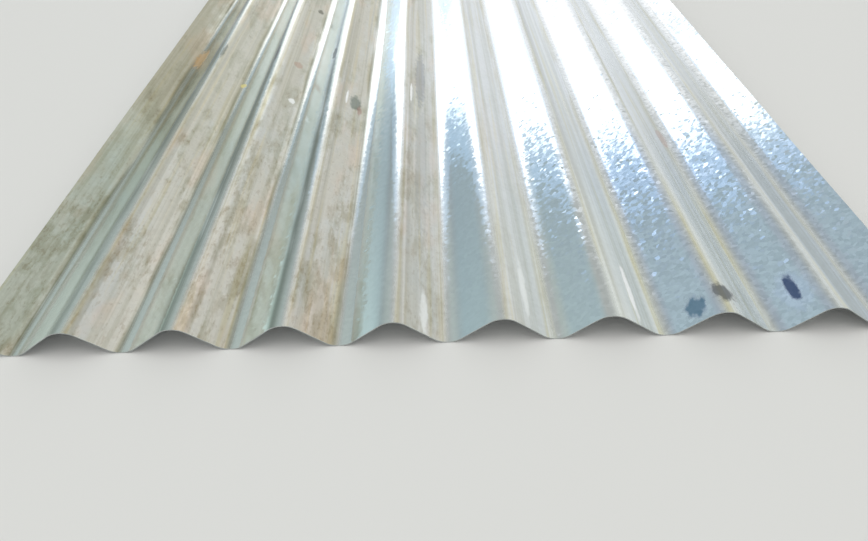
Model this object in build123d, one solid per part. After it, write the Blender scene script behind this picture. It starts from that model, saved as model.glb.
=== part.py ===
from build123d import *
import os
from math import asin, atan2, cos, degrees, hypot, sin, tan

# A corrugated roofing sheet of galvanised steel: one flat strip, rolled into even waves along
# its length, sheared square at both ends and with both slit side edges turned up.
# X runs across the waves, Y along them and Z up. The origin is under the middle of the sheet,
# on the level that its troughs rest on. Sizes are in millimetres.

# What the sheet is ordered by
sheet_length = 1828.8  # a stock length, six feet
sheet_thickness = 0.7
corrugations = 8  # whole waves, counted between the two outer troughs

# What the rolls give it
pitch = 76.2  # from one crest to the next, three inches
wave_depth = 19.0  # from crest to trough on one face of the sheet
bend_radius = 17.0  # of every crest and trough, at the middle of the metal
lap_run = 34.05  # along the metal, from the bottom of an outer trough to the slit edge


def flank_slope():
    # The slope, in radians, of the flat flank that meets a crest arc and a trough arc of
    # bend_radius, half a pitch apart and wave_depth apart in height, as a tangent to both.
    half_pitch = pitch / 2
    arcs_less_depth = 2 * bend_radius - wave_depth
    reach = hypot(half_pitch, arcs_less_depth)
    return asin(2 * bend_radius / reach) - atan2(arcs_less_depth, half_pitch)


def wave_run(slope):
    # The length of metal in one whole wave: two whole arcs and two flanks.
    flank = (pitch / 2 - 2 * bend_radius * sin(slope)) / cos(slope)
    return 2 * (2 * bend_radius * slope + flank)


def wave_line(slope):
    # The middle of the metal across the sheet, with a whole wave to spare beyond each outer
    # trough: a zigzag of flanks, rounded at every corner.
    corner_height = pitch / 4 * tan(slope)
    outermost = corrugations + 2  # corners to each side of the one in the middle
    corners = []
    for number in range(-outermost, outermost + 1):
        is_crest = (number + corrugations) % 2
        corners.append((number * pitch / 2, corner_height if is_crest else -corner_height))
    return Plane.XZ * FilletPolyline(*corners, radius=bend_radius)


def slit_to_strip(line, strip_width):
    # Keeps the middle of the line, so that the sheet has as much metal as its strip.
    spare = (1 - strip_width / line.length) / 2
    return line.wire().trim(spare, 1 - spare)


def section_of(middle_line):
    # The metal to each side of its middle line, closed square at the slit edges.
    underside = middle_line.offset_2d(sheet_thickness / 2, side=Side.RIGHT, closed=False)
    return Face(underside.offset_2d(sheet_thickness, side=Side.LEFT, closed=True))


slope = flank_slope()
strip_width = corrugations * wave_run(slope) + 2 * lap_run
middle_line = slit_to_strip(wave_line(slope), strip_width)
section = section_of(middle_line)
sheet = extrude(section, sheet_length / 2, both=True)
sheet = Pos(0, 0, (wave_depth + sheet_thickness) / 2) * sheet

os.makedirs("parts", exist_ok=True)
export_step(sheet, "parts/corrugated_sheet.step")

print("strip width", round(strip_width, 2), "flank slope", round(degrees(slope), 2))
print("overall size", sheet.bounding_box().size)
print("cover width", corrugations * pitch)
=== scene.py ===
from math import asin, atan2, cos, hypot, pi, radians, sin

import bmesh
import bpy
from mathutils import Matrix, Vector, noise


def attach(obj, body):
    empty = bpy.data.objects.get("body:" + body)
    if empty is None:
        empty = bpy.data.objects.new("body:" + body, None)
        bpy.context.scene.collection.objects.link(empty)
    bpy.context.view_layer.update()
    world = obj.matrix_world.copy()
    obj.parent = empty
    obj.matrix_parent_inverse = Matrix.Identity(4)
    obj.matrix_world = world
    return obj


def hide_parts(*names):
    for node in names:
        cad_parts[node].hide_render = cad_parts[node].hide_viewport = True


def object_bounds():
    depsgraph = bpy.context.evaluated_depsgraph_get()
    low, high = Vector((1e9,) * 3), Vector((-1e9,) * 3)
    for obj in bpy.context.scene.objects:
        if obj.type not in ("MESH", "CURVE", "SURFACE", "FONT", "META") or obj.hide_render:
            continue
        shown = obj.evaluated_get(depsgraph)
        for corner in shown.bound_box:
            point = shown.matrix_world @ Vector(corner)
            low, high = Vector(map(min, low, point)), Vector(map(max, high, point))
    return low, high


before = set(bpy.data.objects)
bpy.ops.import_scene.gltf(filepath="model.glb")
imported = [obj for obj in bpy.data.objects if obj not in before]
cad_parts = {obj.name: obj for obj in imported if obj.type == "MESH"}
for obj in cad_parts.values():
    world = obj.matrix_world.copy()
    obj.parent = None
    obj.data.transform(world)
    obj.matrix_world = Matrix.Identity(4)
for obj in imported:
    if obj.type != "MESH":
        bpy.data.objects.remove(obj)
cadLow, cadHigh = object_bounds()
print("frame loaded, CAD box", cadLow, cadHigh)

scene = bpy.context.scene


# Shader maths: a wire is one output of a node, and sums on wires add Math nodes
class Wire:
    def __init__(self, graph, socket):
        self.graph = graph
        self.socket = socket

    def out(self, name):  # another output of the same node
        return Wire(self.graph, self.socket.node.outputs[name])

    def math(self, operation, *others):
        return self.graph.sum(operation, self, *others)

    def __add__(self, other):
        return self.math("ADD", other)

    def __sub__(self, other):
        return self.math("SUBTRACT", other)

    def __mul__(self, other):
        return self.math("MULTIPLY", other)

    def __neg__(self):
        return self.math("MULTIPLY", -1.0)

    def __radd__(self, other):
        return self.graph.sum("ADD", other, self)

    def __rsub__(self, other):
        return self.graph.sum("SUBTRACT", other, self)

    def __rmul__(self, other):
        return self.graph.sum("MULTIPLY", other, self)


class Graph:
    def __init__(self, tree):
        self.tree = tree
        tree.nodes.clear()

    def node(self, kind, settings=None, inputs=None, output=0):
        made = self.tree.nodes.new(kind)
        for name, value in (settings or {}).items():
            setattr(made, name, value)
        for key, value in (inputs or {}).items():
            if isinstance(value, Wire):
                self.tree.links.new(value.socket, made.inputs[key])
            else:
                made.inputs[key].default_value = value
        return Wire(self, made.outputs[output]) if made.outputs else None

    def sum(self, operation, *terms):
        return self.node("ShaderNodeMath", {"operation": operation}, dict(enumerate(terms)))

    def vector(self, operation, inputs):
        return self.node("ShaderNodeVectorMath", {"operation": operation}, inputs)

    def fade(self, value, low, high):  # 0 below low, 1 above high, smooth between
        return self.node("ShaderNodeMapRange", {"interpolation_type": "SMOOTHSTEP"},
                         {"Value": value, "From Min": low, "From Max": high})

    def bell(self, value, centre, width):  # 1 at the centre
        away = (value - centre) * (1 / width)
        return (-(away * away)).math("EXPONENT")

    def blend(self, share, first, second, mode="MIX"):  # colours: share of second over first
        settings = {"data_type": "RGBA", "blend_type": mode}
        return self.node("ShaderNodeMix", settings, {0: share, 6: first, 7: second}, output=2)

    def cloud(self, place, perMetre, detail, roughness):
        stretched = self.vector("MULTIPLY", {0: place, 1: perMetre})
        inputs = {"Vector": stretched, "Scale": 1.0, "Detail": detail, "Roughness": roughness}
        return self.node("ShaderNodeTexNoise", {}, inputs)


class Named:  # values that go together, each under its name
    def __init__(self, **values):
        vars(self).update(values)


def rgba(red, green, blue):
    return (red, green, blue, 1.0)


# The sheet, in metres
sheet = {
    "pitch": 0.0762,  # crest to crest
    "waveDepth": 0.0190,  # crest to trough on one face
    "bendRadius": 0.0170,  # at the middle of the metal
    "thickness": 0.0007,
    "waves": 8,  # between the outer troughs
    "lapRun": 0.03405,  # along the metal, from an outer trough to the slit edge
    "arcSteps": 9,
    "flankSteps": 3,
    "rows": 190,  # along the length
    "crispAbove": 50.0,  # degrees, which only the cut edges pass
    # Small bends from rolling and handling. A pattern is repeats to the metre across and along,
    # and a seed.
    "spread": 0.0012,  # how far a wave is pushed sideways, at the ends
    "spreadInside": 0.3,  # the share of that away from the ends
    "spreadReach": 0.25,  # in from an end
    "spreadPattern": (9.0, 2.5, 3.7),
    "ripple": 0.0005,  # how far the crests stand off their true height
    "ripplePattern": (11.0, 6.0, 8.1),
    "endCurl": 0.0010,  # how far a sheared end is bent up or down
    "curlReach": 0.03,
    "curlPerMetre": 30.0,
    "curlSeeds": (1.3, 5.9, 2.2),  # near end, far end, both
}


def bendAngles():
    arcsLessDepth = 2 * sheet["bendRadius"] - sheet["waveDepth"]
    reach = hypot(sheet["pitch"] / 2, arcsLessDepth)
    slope = asin(2 * sheet["bendRadius"] / reach) - atan2(arcsLessDepth, sheet["pitch"] / 2)
    flank = (sheet["pitch"] / 2 - 2 * sheet["bendRadius"] * sin(slope)) / cos(slope)
    lip = (sheet["lapRun"] - flank) / sheet["bendRadius"] - slope  # of the crest past the last flank
    return slope, flank, lip


def rollWaves(bm, slope, flank, lip):
    # One vertex goes across the sheet: round each bend with spin, and straight along each flank.
    # It heads so far below level, and starts downhill.
    radius = sheet["bendRadius"]
    pen = {"tip": bm.verts.new((0, 0, 0)), "heading": slope - lip}

    def bend(angle, steps):  # a positive angle goes over a crest, a negative one through a trough
        side = 1 if angle > 0 else -1
        heading = pen["heading"]
        toCentre = Vector((-sin(heading), 0, -cos(heading))) * radius * side
        done = bmesh.ops.spin(bm, geom=[pen["tip"]], cent=pen["tip"].co + toCentre, axis=(0, 1, 0),
                              angle=angle, steps=steps, use_merge=False)
        pen["tip"] = next(part for part in done["geom_last"] if isinstance(part, bmesh.types.BMVert))
        pen["heading"] = heading + angle

    def run(length, steps):
        along = Vector((cos(pen["heading"]), 0, -sin(pen["heading"]))) * length / steps
        for step in range(steps):
            done = bmesh.ops.extrude_vert_indiv(bm, verts=[pen["tip"]])
            pen["tip"] = done["verts"][0]
            bmesh.ops.translate(bm, verts=[pen["tip"]], vec=along)

    bend(lip, 1)
    for wave in range(sheet["waves"] + 1):
        run(flank, sheet["flankSteps"])
        bend(-2 * slope, sheet["arcSteps"])
        run(flank, sheet["flankSteps"])
        if wave < sheet["waves"]:
            bend(2 * slope, sheet["arcSteps"])
    bend(lip, 1)


def pattern(place, acrossPerMetre, alongPerMetre, seed):
    return noise.noise(Vector((place.x * acrossPerMetre, place.y * alongPerMetre, seed)))


def handlingMarks(place, halfLength):  # trough bottoms stay on the floor
    toEnd = halfLength - abs(place.y)
    nearEnd = max(0.0, 1 - toEnd / sheet["spreadReach"]) ** 2
    lipBend = max(0.0, 1 - toEnd / sheet["curlReach"]) ** 2
    height = min(1.0, max(0.0, place.z / sheet["waveDepth"]))
    sideways = pattern(place, *sheet["spreadPattern"])
    upward = pattern(place, *sheet["ripplePattern"])
    nearSeed, farSeed, seed = sheet["curlSeeds"]
    endSeed = nearSeed if place.y < 0 else farSeed
    curl = noise.noise(Vector((place.x * sheet["curlPerMetre"], endSeed, seed)))
    inside = sheet["spreadInside"]
    place.x += sheet["spread"] * sideways * (inside + (1 - inside) * nearEnd)
    place.z += height * (sheet["ripple"] * upward + sheet["endCurl"] * lipBend * curl)


def makeSheet():
    length = cadHigh.y - cadLow.y
    bm = bmesh.new()
    rollWaves(bm, *bendAngles())
    width = max(v.co.x for v in bm.verts)
    lowest = min(v.co.z for v in bm.verts)
    toPlace = Vector((-width / 2, -length / 2, sheet["thickness"] / 2 - lowest))
    bmesh.ops.translate(bm, verts=bm.verts, vec=toPlace)
    bmesh.ops.spin(bm, geom=bm.edges[:], cent=(0, 0, 0), axis=(0, 1, 0), angle=0,
                   dvec=(0, length / sheet["rows"], 0), steps=sheet["rows"], use_merge=False)
    bmesh.ops.remove_doubles(bm, verts=bm.verts, dist=1e-6)
    bmesh.ops.recalc_face_normals(bm, faces=bm.faces)
    if sum(face.normal.z for face in bm.faces) < 0:
        bmesh.ops.reverse_faces(bm, faces=bm.faces)
    for vert in bm.verts:
        handlingMarks(vert.co, length / 2)
    for face in bm.faces:
        face.smooth = True
    mesh = bpy.data.meshes.new("galvanised_sheet")
    bm.to_mesh(mesh)
    bm.free()
    piece = bpy.data.objects.new("galvanised_sheet", mesh)
    scene.collection.objects.link(piece)
    thicken = piece.modifiers.new("thickness", "SOLIDIFY")
    thicken.thickness = sheet["thickness"]
    thicken.offset = 0  # half to each side
    thicken.use_even_offset = True
    whole = piece.evaluated_get(bpy.context.evaluated_depsgraph_get())
    piece.data = bpy.data.meshes.new_from_object(whole)
    piece.modifiers.clear()
    piece.data.set_sharp_from_angle(angle=radians(sheet["crispAbove"]))
    return piece


# The zinc, what lies on it, and painted reflections, highlights and shade. Each tint multiplies the
# colour under it.
zinc = {
    "clean": rgba(0.77, 0.80, 0.81),
    "cutEdge": rgba(0.50, 0.53, 0.52),
    "leftCoolReflection": rgba(1.09, 1.19, 1.18),  # painted cool reflection on the flanks that rise to the right, by side
    "rightCoolReflection": rgba(0.88, 0.96, 1.03),
    "farRightCoolReflection": rgba(0.86, 0.95, 1.11),
    # painted highlight on the right's rising flanks at the far rows
    "rightFarRowsHighlight": rgba(1.20, 1.18, 1.16),
    "middleDarkReflection": rgba(0.80, 0.84, 0.91),  # painted darker, bluish reflection on the middle rising flanks' near end
    "paleWarmReflection": rgba(1.20, 1.18, 1.08),  # painted pale, warm reflection on the right's falling flanks at the near end
    "dustAndReflectionTint": rgba(0.92, 0.86, 0.77),  # dust and a painted warm reflection on the falling flanks, on the left
    "paleDustAndReflection": rgba(1.00, 1.02, 1.06),  # and on the right
    "greenTint": rgba(0.72, 0.75, 0.66),  # blotches in the dust on the left
    "pinkTint": rgba(1.08, 0.97, 0.92),
    "brownTint": rgba(0.50, 0.42, 0.31),
    "darkReflectionTint": rgba(0.60, 0.57, 0.47),  # painted dark reflection along the left edge
    "outerFlankShade": rgba(0.80, 0.87, 0.85),  # painted shade on the outermost left flank, towards the front
    "filmTint": rgba(0.73, 0.72, 0.63),  # a thin film over the left
    "riseFilmReflection": rgba(0.94, 0.98, 1.02),  # the film on the flanks that rise to the right, with a painted cool reflection
    "streakTint": rgba(0.70, 0.70, 0.62),  # lengthwise lines on the falling flanks
    "sallowTint": rgba(1.00, 0.95, 0.78),
    # painted shade: a grey band just past each crest
    "shadeBandTint": rgba(0.80, 0.80, 0.80),
    "bendDarkLines": rgba(0.42, 0.45, 0.41),  # thin dark lines along the bends on the left
    "rubTint": rgba(0.88, 0.83, 0.68),  # where stacked sheets rub
    "greenStrength": 0.38,
    "pinkStrength": 0.70,
    "brownStrength": 0.30,
    "streakStrength": 0.45,
    "sallowStrength": 0.60,
    "shadeBandStrength": 0.80,
    "rubStrength": 0.70,
    "roughness": 0.10,
    "dustRoughness": 0.24,  # added where the dust is full
    "filmRoughness": 0.04,
    "bloomRoughness": 0.14,
    "rubRoughness": 0.05,
    "leftRoughness": 0.10,  # on the left's falling flanks
    "cutRoughness": 0.15,
    "spangleRoughness": 0.05,  # from crystal to crystal
    "dustCover": 0.45,  # how far each layer hides the metal
    "brownCover": 0.15,
    "filmCover": 0.10,
    "bloomCover": 0.28,
    "specular": 0.2,
    "spanglesPerMetre": 300.0,
    "spangleTilt": 0.065,
    "peelDepth": 0.00010,
    "rollLineDepth": 0.00006,
}

# Noise: repeats to the metre across, along and up, detail, and roughness
patterns = {
    "drift": ((18.0, 3.0, 18.0), 4.0, 0.55),
    "mottle": ((120.0, 36.0, 120.0), 4.0, 0.65),
    "patches": ((52.0, 12.0, 52.0), 5.0, 0.60),
    "blush": ((37.0, 9.0, 37.0), 3.0, 0.55),
    "specks": ((340.0, 110.0, 340.0), 3.0, 0.70),
    "broad": ((170.0, 1.3, 10.0), 2.0, 0.55),  # lines along the sheet
    "fine": ((620.0, 2.0, 10.0), 2.0, 0.55),
    "sallow": ((210.0, 3.0, 40.0), 3.0, 0.55),
    "broken": ((40.0, 6.0, 40.0), 2.0, 0.55),  # where such lines break off
    "ragged": ((260.0, 130.0, 260.0), 3.0, 0.55),  # the marks' outlines
    "peel": ((125.0, 95.0, 125.0), 2.0, 0.55),  # how uneven the zinc is
}

# Where a layer comes in or ends, across the sheet in metres from its middle
xZones = {
    "rightHalf": (-0.09, 0.12),
    "pastMiddle": (0.00, 0.10),
    "farRight": (0.06, 0.18),
    "leftReflectionEnd": (-0.12, 0.10),
    "filmEnd": (-0.22, 0.04),
    "fullFilmEnd": (-0.310, -0.270),  # on the falling flanks
    "darkReflectionEnd": (-0.285, -0.262),
    "darkReflectionRim": (-0.314, -0.298),
    "outerFlankShadeEnd": (-0.314, -0.302),
    "bloomEnd": (-0.262, -0.236),
    "creasesEnd": (-0.11, -0.02),
    "spangleStart": (-0.06, 0.16),
}

# The same along it, from the near end to the far one
yZones = {
    "nearEnd": (-0.80, -0.45),
    "paleStart": (-0.70, -0.52),
    "middleTintEnd": (-0.60, -0.46),
    "creamEnd": (-0.84, -0.60),
    "filmStart": (-0.84, -0.54),
    "darkReflectionStart": (-0.62, -0.38),
    "outerFlankShadeEnd": (-0.64, -0.44),
    "bloomEnd": (-0.84, -0.56),
}

# Marks on the top face: middle, half size, colour, how strong, how much rougher
marks = {
    "rustStain": ((-0.3000, -0.3330), (0.0095, 0.0340), rgba(0.56, 0.34, 0.13), 0.70, 0.2),
    "yellowSpeck": ((-0.2298, -0.4277), (0.0040, 0.0060), rgba(0.74, 0.66, 0.28), 0.85, 0.3),
    "whiteSpot": ((-0.1640, -0.4886), (0.0036, 0.0070), rgba(0.93, 0.94, 0.93), 0.90, 0.3),
    "redSpot": ((-0.1690, -0.3846), (0.0050, 0.0090), rgba(0.50, 0.28, 0.20), 0.40, 0.2),
    "darkSpot": ((-0.1637, -0.1610), (0.0040, 0.0090), rgba(0.14, 0.14, 0.11), 0.70, 0.2),
    "oilSpot": ((-0.0905, -0.5050), (0.0060, 0.0200), rgba(0.14, 0.18, 0.15), 0.75, 0.0),
    "redRun": ((-0.0860, -0.5200), (0.0026, 0.0130), rgba(0.42, 0.20, 0.17), 0.45, 0.2),
    "oilSmear": ((-0.0188, -0.4450), (0.0060, 0.0880), rgba(0.22, 0.25, 0.30), 0.50, 0.0),
    "oilSmearLow": ((-0.0185, -0.6500), (0.0062, 0.1500), rgba(0.30, 0.33, 0.34), 0.30, 0.0),
    "scratchLeft": ((-0.0999, -0.4997), (0.0013, 0.0200), rgba(0.95, 0.96, 0.96), 0.95, 0.3),
    "scratchRight": ((-0.0285, -0.5025), (0.0013, 0.0270), rgba(0.95, 0.96, 0.96), 0.95, 0.3),
    # painted highlights: short bright streaks on the falling flanks near the front
    "frontHighlightLeft": ((-0.0168, -0.8900), (0.0028, 0.0240), rgba(0.90, 0.93, 0.92), 0.60, 0.2),
    "frontHighlightMiddle": ((0.0568, -0.8650), (0.0026, 0.0360), rgba(0.90, 0.93, 0.92), 0.60, 0.2),
    "frontHighlightRight": ((0.1335, -0.8730), (0.0021, 0.0360), rgba(0.95, 0.96, 0.96), 0.80, 0.2),
    "darkRunOne": ((-0.2645, -0.3560), (0.0026, 0.0240), rgba(0.07, 0.10, 0.08), 0.65, 0.0),
    "darkRunTwo": ((-0.1957, -0.3650), (0.0015, 0.0290), rgba(0.06, 0.05, 0.05), 0.75, 0.0),
    "darkRunThree": ((-0.1245, -0.3700), (0.0028, 0.0210), rgba(0.04, 0.07, 0.09), 0.80, 0.0),
    "pinkBloom": ((0.2240, -0.6080), (0.0040, 0.0220), rgba(0.50, 0.34, 0.36), 0.40, 0.2),
    "greyDaub": ((0.1955, -0.8910), (0.0085, 0.0110), rgba(0.07, 0.08, 0.09), 0.85, 0.2),
    "blueDaub": ((0.1748, -0.8990), (0.0065, 0.0110), rgba(0.03, 0.12, 0.20), 0.85, 0.2),
    "blueWash": ((0.2500, -0.8820), (0.0110, 0.0240), rgba(0.36, 0.52, 0.78), 0.25, 0.1),
    "blueRun": ((0.2500, -0.8790), (0.0034, 0.0160), rgba(0.01, 0.04, 0.13), 0.92, 0.2),
}


def readSheet(g):  # where on the sheet a point is, and which way it faces
    place = g.node("ShaderNodeTexCoord").out("Object")
    normal = g.node("ShaderNodeNewGeometry").out("Normal")
    x = g.node("ShaderNodeSeparateXYZ", {}, {0: place})
    facing = g.node("ShaderNodeSeparateXYZ", {}, {0: normal})
    at = Named(place=place, normal=normal, x=x, y=x.out("Y"))
    at.topFace = g.fade(facing.out("Z"), 0.0, 0.3)
    at.cutEdge = g.fade(facing.out("Y").math("ABSOLUTE"), 0.6, 0.8)
    at.phase = (x * (1 / sheet["pitch"])).math("FRACT")  # 0 in a trough, 0.5 on a crest
    at.rise = (at.phase * (2 * pi)).math("SINE")  # 1 on a flank that rises to the right
    at.falling = g.fade(-at.rise, -0.15, 0.35) * at.topFace
    at.toLeft = 1 - g.fade(at.x, *xZones["rightHalf"])
    at.farRight = g.fade(at.x, *xZones["farRight"])
    at.toFront = 1 - g.fade(at.y, *yZones["nearEnd"])
    return at


def dustAndReflectionMasks(g, at, noises):  # dust and a painted warm reflection on the falling flanks, thickest on the left, in blotches
    mottle, patches = noises.mottle, noises.patches
    thick = g.fade(noises.drift + 0.5 * mottle, 0.44 - 0.14 * (1 - at.toLeft), 0.76)
    dustAndReflection = at.falling * (0.75 + 0.25 * at.toLeft) * (0.35 + 0.65 * thick)
    onLeft = at.falling * at.toLeft
    green = onLeft * g.fade(patches + 0.25 * (mottle - 0.5), 0.50, 0.60)
    pink = onLeft * g.fade(noises.blush, 0.50, 0.66)
    smudge = g.fade(0.5 * mottle + 0.5 * patches + 0.08 * at.toFront, 0.55, 0.66)
    speck = g.fade(noises.specks + 0.25 * (patches - 0.5) + 0.06 * at.toFront, 0.60, 0.70)
    return dustAndReflection, green, pink, onLeft * (smudge + speck)


def filmAndShadeMasks(g, at, noises):
    # A thin film over the left and the far rows
    film = at.topFace * (1 - g.fade(at.x, *xZones["filmEnd"]))
    film = film * (0.15 + 0.85 * g.fade(at.y, *yZones["filmStart"]))
    film = film * (1 - 0.5 * at.falling * g.fade(at.x, *xZones["fullFilmEnd"]))

    # A painted dark reflection, mottled, which keeps nearer the left edge towards the front
    farRowsShare = 0.35 + 0.65 * g.fade(at.y, *yZones["darkReflectionStart"])
    fromEdge = at.x + 0.054 * (1 - farRowsShare)
    leftEdgeDarkReflection = at.topFace * (1 - g.fade(fromEdge, *xZones["darkReflectionEnd"])) * farRowsShare
    leftEdgeDarkReflection = leftEdgeDarkReflection * g.fade(noises.drift + 0.3 * noises.mottle, 0.38, 0.72)
    leftEdgeDarkReflection = leftEdgeDarkReflection * (0.5 + 0.5 * g.fade(at.x, *xZones["darkReflectionRim"]))

    # Painted shade on the outermost flank, and a pale bloom on the next, both at the near corner
    outerShade = at.topFace * (1 - g.fade(at.x, *xZones["outerFlankShadeEnd"]))
    outerShade = outerShade * (1 - g.fade(at.y, *yZones["outerFlankShadeEnd"]))
    bloom = at.topFace * g.fade(at.rise, 0.2, 0.6) * (1 - g.fade(at.x, *xZones["bloomEnd"]))
    bloom = bloom * (1 - g.fade(at.y, *yZones["bloomEnd"]))
    return film, leftEdgeDarkReflection, outerShade, bloom


def lineMasks(g, at, noises):
    # Lengthwise lines from the rolls, where stacked sheets rub beside crest and trough, and a painted
    # shade band just past each crest
    broken, fine = noises.broken, noises.fine - 0.5
    wander = at.phase + 0.10 * (broken - 0.5)
    fromTrough = (wander + 0.5).math("FRACT")
    creases = g.bell(wander, 0.410, 0.054) + 0.8 * g.bell(fromTrough, 0.470, 0.032)
    creases = at.topFace * creases * (1 - g.fade(at.x, *xZones["creasesEnd"]))
    creases = creases * g.fade(broken + 0.3 * fine, 0.25, 0.50)
    besides = g.bell(wander, 0.552, 0.026) + g.bell(wander, 0.950, 0.030)
    rub = at.topFace * besides * g.fade(broken + 0.5 * fine, 0.36, 0.60)
    shadeBands = at.topFace * g.bell(wander, 0.60, 0.035) * g.fade(noises.broad, 0.36, 0.60)
    streaks = at.falling * g.fade(noises.broad + 0.4 * fine, 0.42, 0.62)
    sallow = at.falling * g.fade(noises.sallow, 0.52, 0.66)
    return creases, rub, shadeBands, streaks, sallow


def layered(g, colour, layers):  # each layer multiplies the colour under it, by its share
    for share, tint in layers:
        colour = g.blend(share, colour, tint, mode="MULTIPLY")
    return colour


def zincWithPaintedLight(g, at):  # painted cool reflection on the flanks that rise to the right, by side and by row, with a painted highlight on the right's far rows
    coolReflection = g.blend(g.fade(at.x, *xZones["leftReflectionEnd"]), zinc["leftCoolReflection"], zinc["rightCoolReflection"])
    coolReflection = g.blend(at.farRight, coolReflection, zinc["farRightCoolReflection"])
    # painted highlight: brighter far rows on the right
    farRowsHighlight = g.fade(at.x, *xZones["pastMiddle"]) * g.fade(at.y, *yZones["paleStart"])
    coolReflection = g.blend(farRowsHighlight, coolReflection, zinc["rightFarRowsHighlight"])
    rising = at.topFace * g.fade(at.rise, 0.5 - 0.6 * at.farRight, 0.9 - 0.45 * at.farRight)
    # painted darker, bluish reflection on the middle rising flanks
    bluish = at.topFace * g.bell(at.x, -0.018, 0.048) * (1 - g.fade(at.y, *yZones["middleTintEnd"]))
    bluish = bluish * g.fade(at.rise, 0.3, 0.7)
    # painted pale, warm reflection
    creamy = at.falling * g.bell(at.x, 0.160, 0.120) * (1 - g.fade(at.y, *yZones["creamEnd"]))
    layers = [(rising, coolReflection), (bluish, zinc["middleDarkReflection"]), (creamy, zinc["paleWarmReflection"])]
    return layered(g, zinc["clean"], layers)


def addMarks(g, at, ragged, colour, rough, metallic):
    for middle, half, ink, strength, rougher in marks.values():
        across = (at.x - middle[0]) * (1 / half[0])
        along = (at.y - middle[1]) * (1 / half[1])
        away = (across * across + along * along).math("SQRT") + 1.1 * (ragged - 0.5)
        spot = (1 - g.fade(away, 0.65, 1.15)) * at.topFace
        colour = g.blend(spot * strength, colour, ink)
        rough = rough + rougher * spot
        metallic = metallic * (1 - spot * strength)
    return colour, rough, metallic


def spangleNormal(g, at, noises, crystals, shade):  # each crystal has a tilt of its own
    tilt = g.vector("SUBTRACT", {0: crystals, 1: (0.5, 0.5, 0.5)})
    loose = 0.25 + 0.75 * g.fade(at.x, *xZones["spangleStart"])
    loose = loose * (1 - 0.75 * at.falling)  # strongest on the right's rising flanks
    steep = loose * (0.7 + 2.0 * g.fade(shade.out("Blue"), 0.65, 1.0)) * zinc["spangleTilt"]
    tilted = g.vector("ADD", {0: at.normal, 1: g.vector("SCALE", {0: tilt, "Scale": steep})})
    tilted = g.vector("NORMALIZE", {0: tilted})
    relief = noises.peel * loose * zinc["peelDepth"] + noises.broad * zinc["rollLineDepth"]
    inputs = {"Height": relief, "Normal": tilted, "Strength": 1.0, "Distance": 1.0}
    return g.node("ShaderNodeBump", {}, inputs)


def zincMaterial():
    material = bpy.data.materials.new("hot_dip_zinc")
    material.use_nodes = True
    g = Graph(material.node_tree)
    at = readSheet(g)
    noises = {name: g.cloud(at.place, *setting) for name, setting in patterns.items()}
    noises = Named(**noises)
    crystals = g.node("ShaderNodeTexVoronoi", {"feature": "F1"},
                      {"Vector": at.place, "Scale": zinc["spanglesPerMetre"]}).out("Color")
    shade = g.node("ShaderNodeSeparateColor", {}, {0: crystals})
    dustAndReflection, green, pink, brown = dustAndReflectionMasks(g, at, noises)
    film, leftEdgeDarkReflection, outerShade, bloom = filmAndShadeMasks(g, at, noises)
    creases, rub, shadeBands, streaks, sallow = lineMasks(g, at, noises)

    colour = layered(g, zincWithPaintedLight(g, at), [
        # dust with a painted warm reflection
        (dustAndReflection, g.blend(at.toLeft, zinc["paleDustAndReflection"], zinc["dustAndReflectionTint"])),
        (green * zinc["greenStrength"], zinc["greenTint"]),
        (pink * zinc["pinkStrength"], zinc["pinkTint"]),
        # painted dark reflection along the left edge
        (leftEdgeDarkReflection, zinc["darkReflectionTint"]),
        # painted shade on the outermost flank
        (outerShade, zinc["outerFlankShade"]),
        (film, g.blend(g.fade(at.rise, 0.5, 0.9), zinc["filmTint"], zinc["riseFilmReflection"])),
        (brown * zinc["brownStrength"], zinc["brownTint"]),
        (streaks * zinc["streakStrength"], zinc["streakTint"]),
        (sallow * zinc["sallowStrength"], zinc["sallowTint"]),
        # painted shade band past each crest
        (shadeBands * zinc["shadeBandStrength"], zinc["shadeBandTint"]),
        (creases, zinc["bendDarkLines"]),
        (rub * zinc["rubStrength"], zinc["rubTint"]),
    ])
    speckle = 1 + (shade - 0.5) * (0.06 + 0.16 * at.farRight * (1 - at.falling))
    colour = g.vector("SCALE", {0: colour, "Scale": speckle})

    rough = zinc["roughness"] + zinc["dustRoughness"] * dustAndReflection + zinc["filmRoughness"] * film
    rough = rough + zinc["bloomRoughness"] * bloom + zinc["rubRoughness"] * rub
    rough = rough + zinc["leftRoughness"] * at.falling * at.toLeft
    rough = rough + zinc["spangleRoughness"] * (1 - at.falling) * (shade.out("Green") - 0.5)
    metallic = 1 - zinc["dustCover"] * dustAndReflection - zinc["brownCover"] * brown
    metallic = metallic - zinc["filmCover"] * film - zinc["bloomCover"] * bloom

    colour, rough, metallic = addMarks(g, at, noises.ragged, colour, rough, metallic)
    colour = g.blend(at.cutEdge, colour, zinc["cutEdge"])
    rough = rough + zinc["cutRoughness"] * at.cutEdge
    surface = g.node("ShaderNodeBsdfPrincipled", {}, {
        "Base Color": colour, "Roughness": rough, "Metallic": metallic,
        "Normal": spangleNormal(g, at, noises, crystals, shade), "Specular IOR Level": zinc["specular"]})
    g.node("ShaderNodeOutputMaterial", {}, {"Surface": surface})
    return material


piece = makeSheet()
piece.data.materials.clear()
piece.data.materials.append(zincMaterial())
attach(piece, "root")
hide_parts("corrugated_sheet")
print("sheet made,", sum(len(face.vertices) - 2 for face in piece.data.polygons), "triangles")


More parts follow.
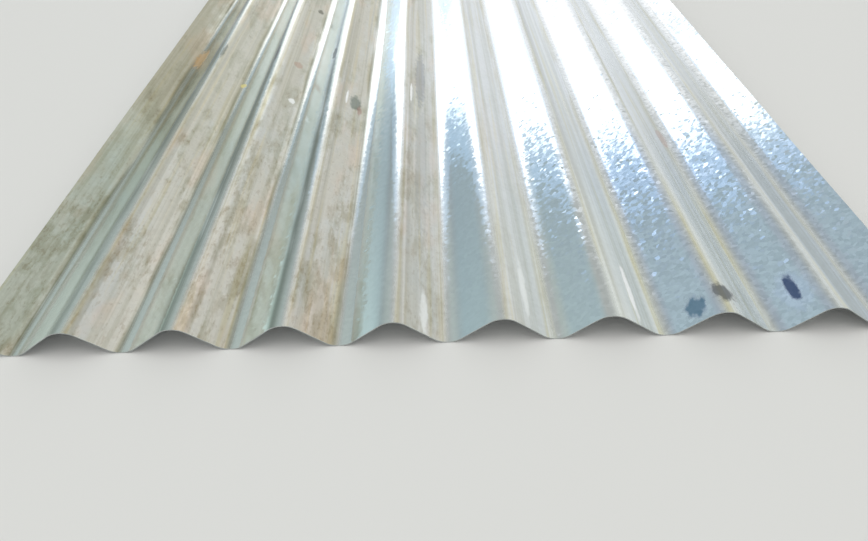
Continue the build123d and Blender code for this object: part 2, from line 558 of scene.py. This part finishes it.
# The studio. The world is a plain soft dome, brighter ahead and overhead than round the sides.
# Zinc shows little but what it reflects, so each part of the dome has its own shade.
studio = {
    "floorColour": rgba(0.74, 0.74, 0.725),
    "floorRoughness": 0.7,
    "floorHalfWidth": 14.0,
    "core": rgba(1.30, 1.26, 1.22),  # low in the middle, up to the left
    "inner": rgba(1.02, 1.04, 1.07),  # round the middle ahead
    "rightOuter": rgba(0.64, 0.66, 0.66),
    "upperOuter": rgba(0.50, 0.52, 0.50),
    "leftInner": rgba(0.45, 0.50, 0.50),
    "leftOuter": rgba(0.52, 0.59, 0.56),
    "lowLeftAhead": rgba(0.74, 0.79, 0.90),  # near the horizon on the left, from ahead outwards
    "lowLeftInner": rgba(0.44, 0.49, 0.49),
    "lowLeftOuter": rgba(0.78, 0.88, 0.83),
    "overhead": rgba(1.56, 1.56, 1.54),
    "rear": rgba(0.80, 0.80, 0.79),
    "coreTailShare": 0.35,  # how strong the core's tail on the left is
    "coreBulge": 6.0,  # degrees that the core reaches out at its bulge
}

# Where the parts of the dome meet, in degrees
domeEdges = {
    "core": (16.0, 24.0),  # off straight ahead
    "low": (22.0, 35.0),
    "high": (19.0, 39.0),
    "left": (27.0, 43.0),
    "lowLeftAhead": (18.0, 28.0),
    "rear": (60.0, 90.0),
    "lowToHigh": (20.0, 60.0),  # round that axis: 0 right, 90 up, 180 left
    "highToLeft": (90.0, 124.0),
    "leftToLow": (158.0, 178.0),
    "coreMiddle": (118.0, 30.0),  # where on that scale, and how wide to each side
    "coreTail": (152.0, 14.0),
    "coreBulge": (114.0, 10.0),
    "overhead": (50.0, 68.0),  # up
}

# A soft window ahead and the blue glow round it, which only the metal shows. Azimuth goes from
# +Y to the right, in degrees. Sizes are in metres.
softBoxes = {
    "window": {"azimuth": -10.3, "elevation": 19.1, "distance": 1.55, "width": 0.38, "height": 0.92,
               "turn": 37.0, "colour": (1.0, 1.0, 1.0), "radiance": 0.95},
    "windowGlow": {"azimuth": -9.6, "elevation": 20.2, "distance": 1.55, "width": 0.76, "height": 1.12,
                   "turn": 37.0, "colour": (0.42, 0.66, 1.0), "radiance": 0.32},
}
boxesRound = Vector((0.0, -0.5, 0.0))  # the spot on the sheet that they are placed round


def makeFloor():
    bm = bmesh.new()
    bmesh.ops.create_grid(bm, x_segments=1, y_segments=1, size=studio["floorHalfWidth"])
    mesh = bpy.data.meshes.new("floor")
    bm.to_mesh(mesh)
    bm.free()
    floor = bpy.data.objects.new("floor", mesh)
    scene.collection.objects.link(floor)
    material = bpy.data.materials.new("pale_floor")
    material.use_nodes = True
    g = Graph(material.node_tree)
    inputs = {"Base Color": studio["floorColour"], "Roughness": studio["floorRoughness"]}
    g.node("ShaderNodeOutputMaterial", {}, {"Surface": g.node("ShaderNodeBsdfPrincipled", {}, inputs)})
    mesh.materials.append(material)


def makeWorld():
    world = bpy.data.worlds.new("studio")
    scene.world = world
    world.use_nodes = True
    g = Graph(world.node_tree)
    x = g.node("ShaderNodeSeparateXYZ", {}, {0: g.node("ShaderNodeTexCoord").out("Generated")})
    z = x.out("Z")
    offAhead = x.out("Y").math("ARCCOSINE") * (180 / pi)
    bearing = z.math("ARCTAN2", x) * (180 / pi)
    elevation = z.math("ARCSINE") * (180 / pi)

    def part(angle, edge, first, second):
        return g.blend(g.fade(angle, *domeEdges[edge]), first, second)

    low = part(offAhead, "low", studio["inner"], studio["rightOuter"])
    high = part(offAhead, "high", studio["inner"], studio["upperOuter"])
    left = part(offAhead, "left", studio["leftInner"], studio["leftOuter"])
    lowLeft = part(offAhead, "left", studio["lowLeftInner"], studio["lowLeftOuter"])
    lowLeft = part(offAhead, "lowLeftAhead", studio["lowLeftAhead"], lowLeft)
    dome = part(bearing, "lowToHigh", low, high)
    dome = part(bearing, "highToLeft", dome, left)
    dome = part(bearing, "leftToLow", dome, lowLeft)
    tail = studio["coreTailShare"] * g.bell(bearing, *domeEdges["coreTail"])
    core = g.bell(bearing, *domeEdges["coreMiddle"]) + tail
    bulge = studio["coreBulge"] * g.bell(bearing, *domeEdges["coreBulge"])
    core = core * (1 - g.fade(offAhead - bulge, *domeEdges["core"]))
    dome = g.blend(core, dome, studio["core"])
    dome = part(offAhead, "rear", dome, studio["rear"])
    dome = part(elevation, "overhead", dome, studio["overhead"])
    light = g.node("ShaderNodeBackground", {}, {"Color": dome, "Strength": 1.0})
    g.node("ShaderNodeOutputWorld", {}, {"Surface": light})


def makeSoftBox(name, azimuth, elevation, distance, width, height, turn, colour, radiance):
    azimuth, elevation = radians(azimuth), radians(elevation)
    towards = Vector((sin(azimuth) * cos(elevation), cos(azimuth) * cos(elevation), sin(elevation)))
    data = bpy.data.lights.new(name, "AREA")
    data.shape = "ELLIPSE"
    data.color = colour
    data.size = width
    data.size_y = height
    data.energy = radiance * pi * pi / 4 * width * height  # watts: pi times the ellipse's area
    box = bpy.data.objects.new(name, data)
    scene.collection.objects.link(box)
    facing = towards.to_track_quat("Z", "Y").to_matrix().to_4x4()
    facing = facing @ Matrix.Rotation(radians(turn), 4, "Z")
    box.matrix_world = Matrix.Translation(boxesRound + towards * distance) @ facing
    box.visible_camera = False
    box.visible_diffuse = False  # or it makes a hot spot on the floor


makeFloor()
makeWorld()
for name, setting in softBoxes.items():
    makeSoftBox(name, **setting)
print("studio made")


# The camera, as fitted to the photograph
view = {
    "place": (-0.0060, -1.3492, 0.3632),  # metres
    "down": 34.75,  # degrees
    "toRight": -0.30,
    "roll": -2.04,
    "lens": 33.52,  # millimetres, for a 36 mm sensor
}


def makeCamera():
    data = bpy.data.cameras.new("camera")
    data.sensor_width = 36.0
    data.lens = view["lens"]
    data.clip_start = 0.01
    camera = bpy.data.objects.new("camera", data)
    scene.collection.objects.link(camera)
    turn = Matrix.Rotation(radians(-view["toRight"]), 4, "Z")
    turn = turn @ Matrix.Rotation(radians(90 - view["down"]), 4, "X")
    turn = turn @ Matrix.Rotation(radians(view["roll"]), 4, "Z")
    camera.matrix_world = Matrix.Translation(view["place"]) @ turn
    scene.camera = camera


makeCamera()
scene.view_settings.view_transform = "Standard"
print("camera made")
